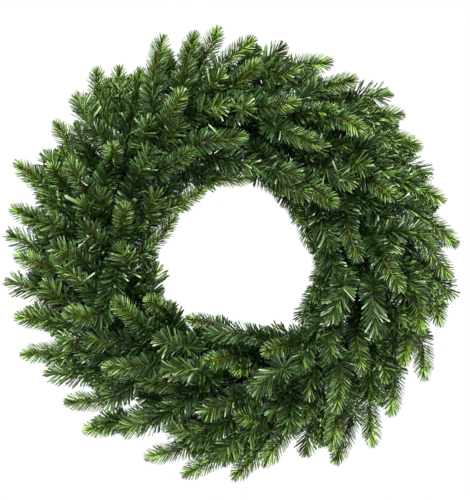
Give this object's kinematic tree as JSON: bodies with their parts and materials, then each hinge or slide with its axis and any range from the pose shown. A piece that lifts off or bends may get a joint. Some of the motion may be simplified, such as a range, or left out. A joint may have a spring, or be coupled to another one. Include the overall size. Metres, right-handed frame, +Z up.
{
  "type": "christmas wreath",
  "caption": "Artificial Christmas wreath of fir and pine tips that sweep clockwise, wrapped on a ringed wire frame and hung by its top on a hook",
  "frame": {"origin": "where a hook meets the underside of the outer ring at its top, on the wreath's middle line", "axes": "+Z up as it hangs, -Y out of the wreath's face towards the viewer, +Y to the wall, +X to the right as seen from the front"},
  "size_m": [0.6108, 0.125, 0.603],
  "materials": {
    "frame_wire": "satin dark green coat on steel wire",
    "fir_needles": "satin moulded needles, dark green with yellow-green ends, on amber-brown stems",
    "pine_needles": "satin cut-film needles, mid green with pale edges, on brown twisted stems"
  },
  "bodies": {
    "root": {"fir_branch_01": "fir_needles", "fir_branch_02": "fir_needles", "fir_branch_03": "fir_needles", "fir_branch_04": "fir_needles", "fir_branch_05": "fir_needles", "fir_branch_06": "fir_needles", "fir_branch_07": "fir_needles", "fir_branch_08": "fir_needles", "fir_branch_09": "fir_needles", "fir_branch_10": "fir_needles", "fir_branch_11": "fir_needles", "fir_branch_12": "fir_needles", "fir_branch_13": "fir_needles", "fir_branch_14": "fir_needles", "fir_branch_15": "fir_needles", "fir_branch_16": "fir_needles", "fir_branch_17": "fir_needles", "fir_branch_18": "fir_needles", "fir_branch_19": "fir_needles", "fir_branch_20": "fir_needles", "fir_branch_21": "fir_needles", "fir_branch_22": "fir_needles", "fir_branch_23": "fir_needles", "fir_branch_24": "fir_needles", "fir_branch_25": "fir_needles", "fir_branch_26": "fir_needles", "fir_branch_27": "fir_needles", "fir_branch_28": "fir_needles", "fir_branch_29": "fir_needles", "fir_branch_30": "fir_needles", "fir_branch_31": "fir_needles", "pine_branch_01": "pine_needles", "pine_branch_02": "pine_needles", "pine_branch_03": "pine_needles", "pine_branch_04": "pine_needles", "pine_branch_05": "pine_needles", "pine_branch_06": "pine_needles", "pine_branch_07": "pine_needles", "pine_branch_08": "pine_needles", "pine_branch_09": "pine_needles", "pine_branch_10": "pine_needles", "pine_branch_11": "pine_needles", "pine_branch_12": "pine_needles", "pine_branch_13": "pine_needles", "pine_branch_14": "pine_needles", "pine_branch_15": "pine_needles", "pine_branch_16": "pine_needles", "pine_branch_17": "pine_needles", "pine_branch_18": "pine_needles", "pine_branch_19": "pine_needles", "pine_branch_20": "pine_needles", "pine_branch_21": "pine_needles", "pine_branch_22": "pine_needles", "pine_branch_23": "pine_needles", "pine_branch_24": "pine_needles", "pine_branch_25": "pine_needles", "pine_branch_26": "pine_needles", "pine_branch_27": "pine_needles", "wire_frame": "frame_wire"}
  },
  "joints": []
}
